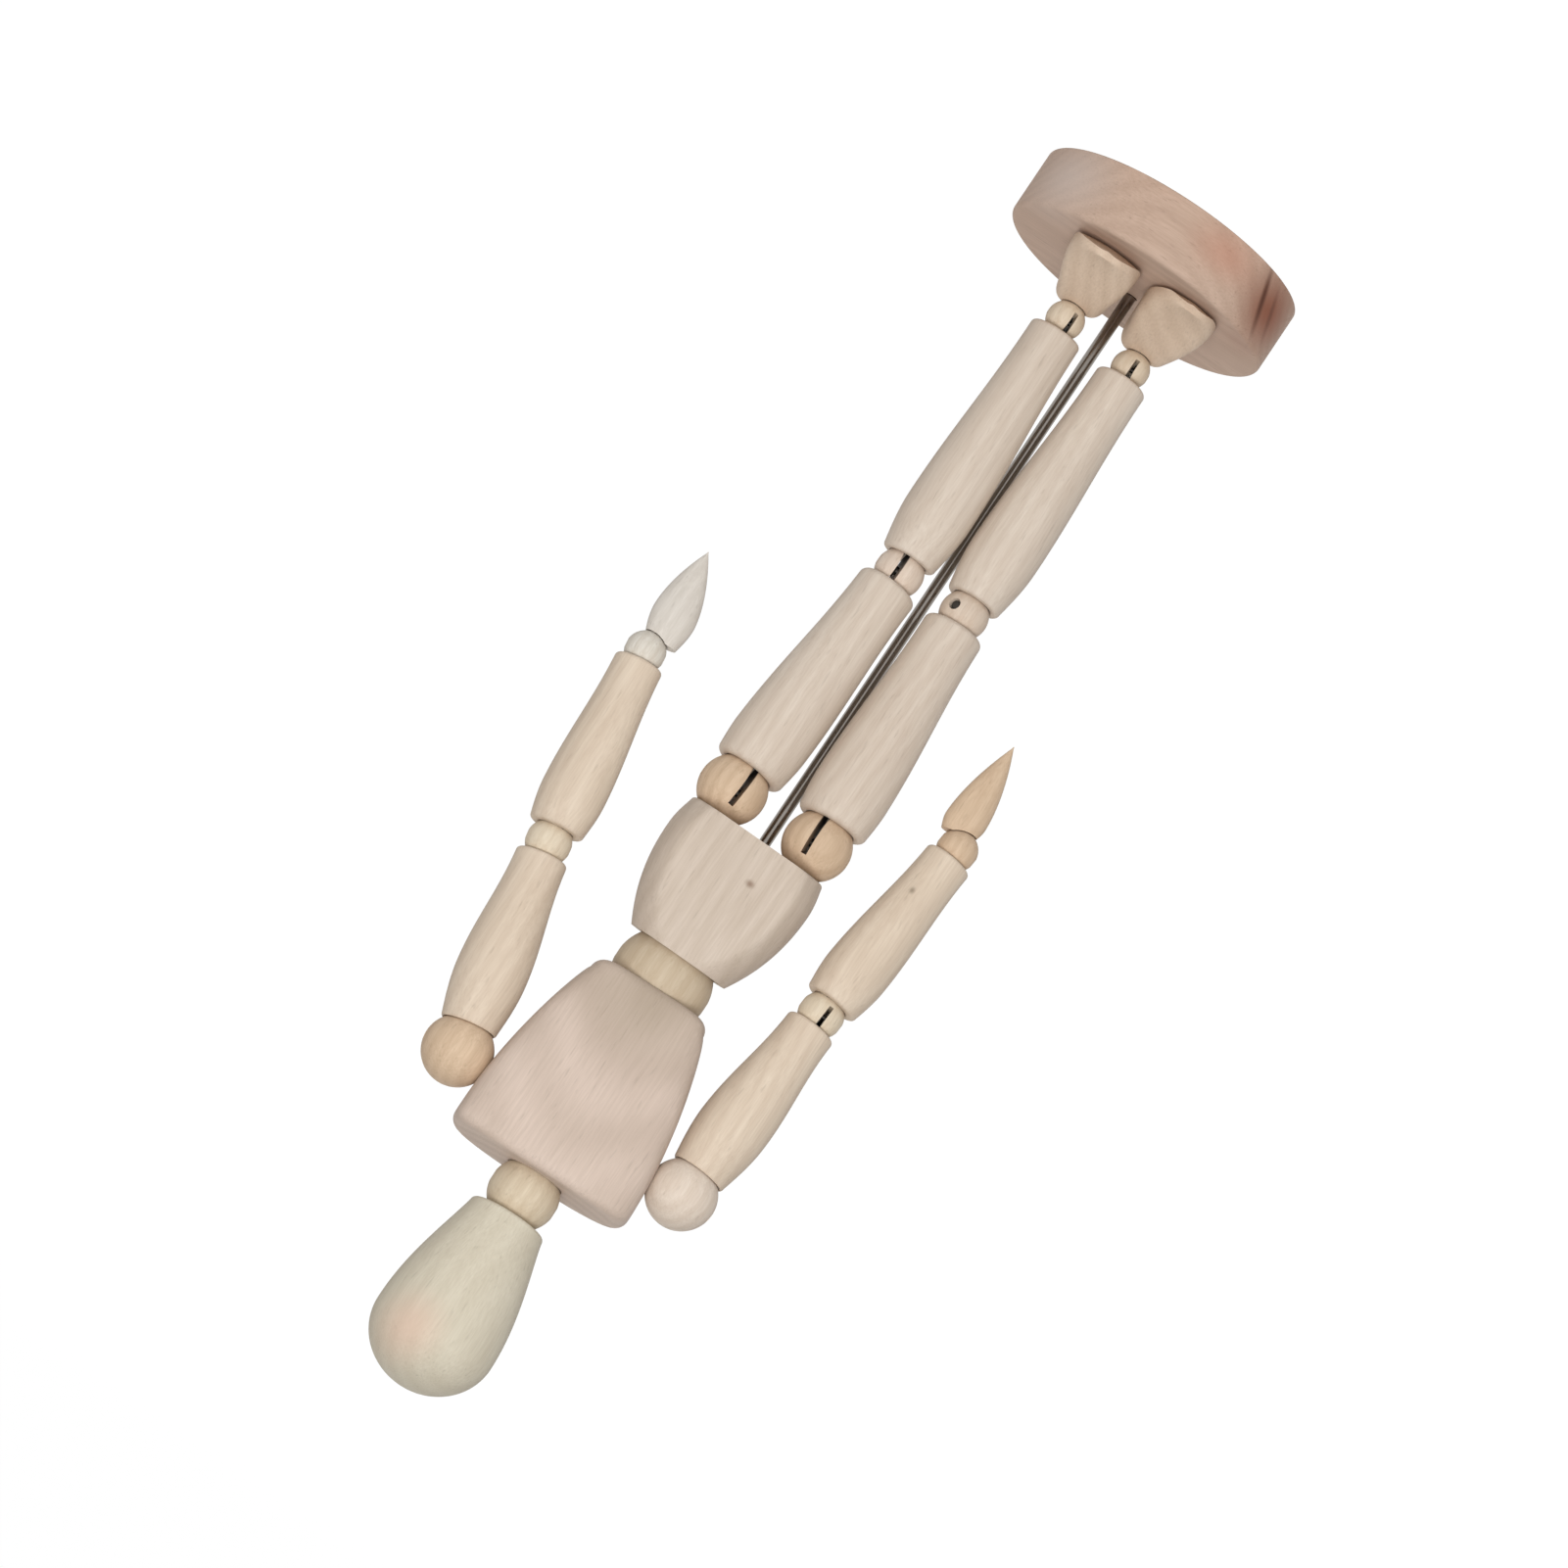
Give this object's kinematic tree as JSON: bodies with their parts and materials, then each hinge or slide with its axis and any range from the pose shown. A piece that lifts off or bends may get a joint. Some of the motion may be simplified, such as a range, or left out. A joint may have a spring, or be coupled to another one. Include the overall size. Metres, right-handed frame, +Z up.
{
  "type": "artist mannequin",
  "caption": "Posable wooden figure of turned limbs and ball joints held by inner springs, standing on a round base with a steel support rod.",
  "frame": {"origin": "middle of the base's underside", "axes": "+Z up along the support rod, the figure faces -Y, its left side is +X"},
  "size_m": [0.088, 0.0626, 0.2991],
  "materials": {
    "limb_wood": "sanded, unvarnished",
    "ball_wood": "sanded, unvarnished",
    "pale_wood": "sanded, unvarnished",
    "base_wood": "sanded, unvarnished",
    "steel": "drawn wire and rod"
  },
  "bodies": {
    "base": {"base": "base_wood"},
    "rod": {"support_rod": "steel"},
    "pelvis": {"pelvis": "pale_wood", "hip_spring_left": "steel", "hip_spring_right": "steel"},
    "waist_ball": {"waist_ball": "ball_wood", "waist_pin": "steel"},
    "chest": {"chest": "limb_wood", "chest_spring": "steel", "shoulder_spring": "steel"},
    "neck_ball": {"neck_ball": "ball_wood", "neck_pin": "steel", "head_eye": "steel"},
    "head": {"head": "pale_wood"},
    "hip_ball_left": {"hip_ball_left": "ball_wood", "hip_pin_left": "steel"},
    "thigh_left": {"thigh_left": "limb_wood", "thigh_spring_left": "steel"},
    "knee_ball_left": {"knee_ball_left": "ball_wood", "knee_pin_left": "steel"},
    "shin_left": {"shin_left": "limb_wood", "shin_spring_left": "steel"},
    "ankle_ball_left": {"ankle_ball_left": "ball_wood", "ankle_pin_left": "steel", "foot_eye_left": "steel"},
    "foot_left": {"foot_left": "limb_wood"},
    "shoulder_ball_left": {"shoulder_ball_left": "ball_wood", "shoulder_pin_left": "steel"},
    "upper_arm_left": {"upper_arm_left": "limb_wood", "upper_arm_spring_left": "steel"},
    "elbow_ball_left": {"elbow_ball_left": "ball_wood", "elbow_pin_left": "steel"},
    "forearm_left": {"forearm_left": "limb_wood", "forearm_spring_left": "steel"},
    "wrist_ball_left": {"wrist_ball_left": "ball_wood", "wrist_pin_left": "steel"},
    "hand_left": {"hand_left": "limb_wood"},
    "hip_ball_right": {"hip_ball_right": "ball_wood", "hip_pin_right": "steel"},
    "thigh_right": {"thigh_right": "limb_wood", "thigh_spring_right": "steel"},
    "knee_ball_right": {"knee_ball_right": "ball_wood", "knee_pin_right": "steel"},
    "shin_right": {"shin_right": "limb_wood", "shin_spring_right": "steel"},
    "ankle_ball_right": {"ankle_ball_right": "ball_wood", "ankle_pin_right": "steel", "foot_eye_right": "steel"},
    "foot_right": {"foot_right": "limb_wood"},
    "shoulder_ball_right": {"shoulder_ball_right": "ball_wood", "shoulder_pin_right": "steel"},
    "upper_arm_right": {"upper_arm_right": "limb_wood", "upper_arm_spring_right": "steel"},
    "elbow_ball_right": {"elbow_ball_right": "ball_wood", "elbow_pin_right": "steel"},
    "forearm_right": {"forearm_right": "limb_wood", "forearm_spring_right": "steel"},
    "wrist_ball_right": {"wrist_ball_right": "ball_wood", "wrist_pin_right": "steel"},
    "hand_right": {"hand_right": "limb_wood"}
  },
  "joints": [
    {"name": "figure_turn", "type": "hinge", "parent": "base", "child": "rod", "pos_m": [0, 0.005, 0.015], "axis": [0, 0, 1], "continuous": true},
    {"name": "figure_lift", "type": "slide", "parent": "rod", "child": "pelvis", "axis": [0, 0, 1], "range_m": [0, 0.015]},
    {"name": "waist_bend", "type": "hinge", "parent": "pelvis", "child": "waist_ball", "pos_m": [0.00208, -0.0025, 0.19704], "axis": [1, 0, 0], "range_deg": [-15, 25]},
    {"name": "chest_turn", "type": "hinge", "parent": "waist_ball", "child": "chest", "pos_m": [0.00208, -0.0025, 0.19704], "axis": [-0.0191, 0, 0.9998], "range_deg": [-35, 35], "deforming": ["chest_spring"]},
    {"name": "neck_nod", "type": "hinge", "parent": "chest", "child": "neck_ball", "pos_m": [0.00105, -0.0025, 0.25133], "axis": [0.9998, 0, 0.0192], "range_deg": [-20, 25]},
    {"name": "head_turn", "type": "hinge", "parent": "neck_ball", "child": "head", "pos_m": [0.00105, -0.0025, 0.25133], "axis": [-0.0191, 0, 0.9998], "range_deg": [-75, 75]},
    {"name": "hip_side_left", "type": "hinge", "parent": "pelvis", "child": "hip_ball_left", "pos_m": [0.01191, -0.0025, 0.15455], "axis": [-0.1305, -0.9914, 0], "range_deg": [0, 18], "deforming": ["hip_spring_left"]},
    {"name": "hip_swing_left", "type": "hinge", "parent": "hip_ball_left", "child": "thigh_left", "pos_m": [0.01191, -0.0025, 0.15455], "axis": [-0.9914, 0.1305, 0], "range_deg": [-25, 60]},
    {"name": "knee_upper_left", "type": "hinge", "parent": "thigh_left", "child": "knee_ball_left", "pos_m": [0.0082, -0.002, 0.09536], "axis": [0.9914, -0.1305, 0], "range_deg": [-10, 25]},
    {"name": "knee_lower_left", "type": "hinge", "parent": "knee_ball_left", "child": "shin_left", "pos_m": [0.0082, -0.002, 0.09536], "axis": [0.9914, -0.1305, 0], "range_deg": [-10, 25]},
    {"name": "ankle_lift_left", "type": "hinge", "parent": "shin_left", "child": "ankle_ball_left", "pos_m": [0.00879, -0.00463, 0.02992], "axis": [-0.9914, 0.1305, 0], "range_deg": [0, 25]},
    {"name": "foot_turn_left", "type": "hinge", "parent": "ankle_ball_left", "child": "foot_left", "pos_m": [0.00879, -0.00463, 0.02992], "axis": [0, 0, 1], "range_deg": [-3, 35]},
    {"name": "shoulder_swing_left", "type": "hinge", "parent": "chest", "child": "shoulder_ball_left", "pos_m": [0.02924, -0.0025, 0.23368], "axis": [-0.9998, 0, -0.0192], "range_deg": [-35, 90], "deforming": ["shoulder_spring"]},
    {"name": "arm_raise_left", "type": "hinge", "parent": "shoulder_ball_left", "child": "upper_arm_left", "pos_m": [0.02924, -0.0025, 0.23368], "axis": [0, -1, 0], "range_deg": [0, 60]},
    {"name": "elbow_upper_left", "type": "hinge", "parent": "upper_arm_left", "child": "elbow_ball_left", "pos_m": [0.03783, -0.0025, 0.18593], "axis": [-0.9842, 0, -0.1771], "range_deg": [-10, 25]},
    {"name": "elbow_lower_left", "type": "hinge", "parent": "elbow_ball_left", "child": "forearm_left", "pos_m": [0.03783, -0.0025, 0.18593], "axis": [-0.9842, 0, -0.1771], "range_deg": [-10, 25]},
    {"name": "wrist_bend_left", "type": "hinge", "parent": "forearm_left", "child": "wrist_ball_left", "pos_m": [0.04344, -0.0025, 0.14027], "axis": [-0.9925, 0, -0.1219], "range_deg": [-25, 25]},
    {"name": "hand_turn_left", "type": "hinge", "parent": "wrist_ball_left", "child": "hand_left", "pos_m": [0.04344, -0.0025, 0.14027], "axis": [-0.0767, 0, 0.9971], "range_deg": [-60, 60]},
    {"name": "hip_side_right", "type": "hinge", "parent": "pelvis", "child": "hip_ball_right", "pos_m": [-0.00951, -0.0025, 0.15455], "axis": [-0.1305, 0.9914, 0], "range_deg": [0, 18], "deforming": ["hip_spring_right"]},
    {"name": "hip_swing_right", "type": "hinge", "parent": "hip_ball_right", "child": "thigh_right", "pos_m": [-0.00951, -0.0025, 0.15455], "axis": [-0.9914, -0.1305, 0], "range_deg": [-25, 60]},
    {"name": "knee_upper_right", "type": "hinge", "parent": "thigh_right", "child": "knee_ball_right", "pos_m": [-0.00817, -0.00232, 0.09526], "axis": [0.9914, 0.1305, 0], "range_deg": [-10, 25], "deforming": ["thigh_spring_right"]},
    {"name": "knee_lower_right", "type": "hinge", "parent": "knee_ball_right", "child": "shin_right", "pos_m": [-0.00817, -0.00232, 0.09526], "axis": [0.9914, 0.1305, 0], "range_deg": [-10, 25], "deforming": ["shin_spring_right"]},
    {"name": "ankle_lift_right", "type": "hinge", "parent": "shin_right", "child": "ankle_ball_right", "pos_m": [-0.00855, -0.0003, 0.0298], "axis": [-0.9914, -0.1305, 0], "range_deg": [0, 25]},
    {"name": "foot_turn_right", "type": "hinge", "parent": "ankle_ball_right", "child": "foot_right", "pos_m": [-0.00855, -0.0003, 0.0298], "axis": [0, 0, -1], "range_deg": [-3, 35]},
    {"name": "shoulder_swing_right", "type": "hinge", "parent": "chest", "child": "shoulder_ball_right", "pos_m": [-0.02645, -0.0025, 0.23261], "axis": [-0.9998, 0, -0.0192], "range_deg": [-35, 90], "deforming": ["shoulder_spring"]},
    {"name": "arm_raise_right", "type": "hinge", "parent": "shoulder_ball_right", "child": "upper_arm_right", "pos_m": [-0.02645, -0.0025, 0.23261], "axis": [0, 1, 0], "range_deg": [0, 60]},
    {"name": "elbow_upper_right", "type": "hinge", "parent": "upper_arm_right", "child": "elbow_ball_right", "pos_m": [-0.02992, -0.0025, 0.18422], "axis": [-0.9974, 0, 0.0715], "range_deg": [-10, 25]},
    {"name": "elbow_lower_right", "type": "hinge", "parent": "elbow_ball_right", "child": "forearm_right", "pos_m": [-0.02992, -0.0025, 0.18422], "axis": [-0.9974, 0, 0.0715], "range_deg": [-10, 25]},
    {"name": "wrist_bend_right", "type": "hinge", "parent": "forearm_right", "child": "wrist_ball_right", "pos_m": [-0.03456, -0.0025, 0.13846], "axis": [-0.9949, 0, 0.1011], "range_deg": [-25, 25]},
    {"name": "hand_turn_right", "type": "hinge", "parent": "wrist_ball_right", "child": "hand_right", "pos_m": [-0.03456, -0.0025, 0.13846], "axis": [-0.1202, 0, 0.9928], "range_deg": [-60, 60]}
  ]
}
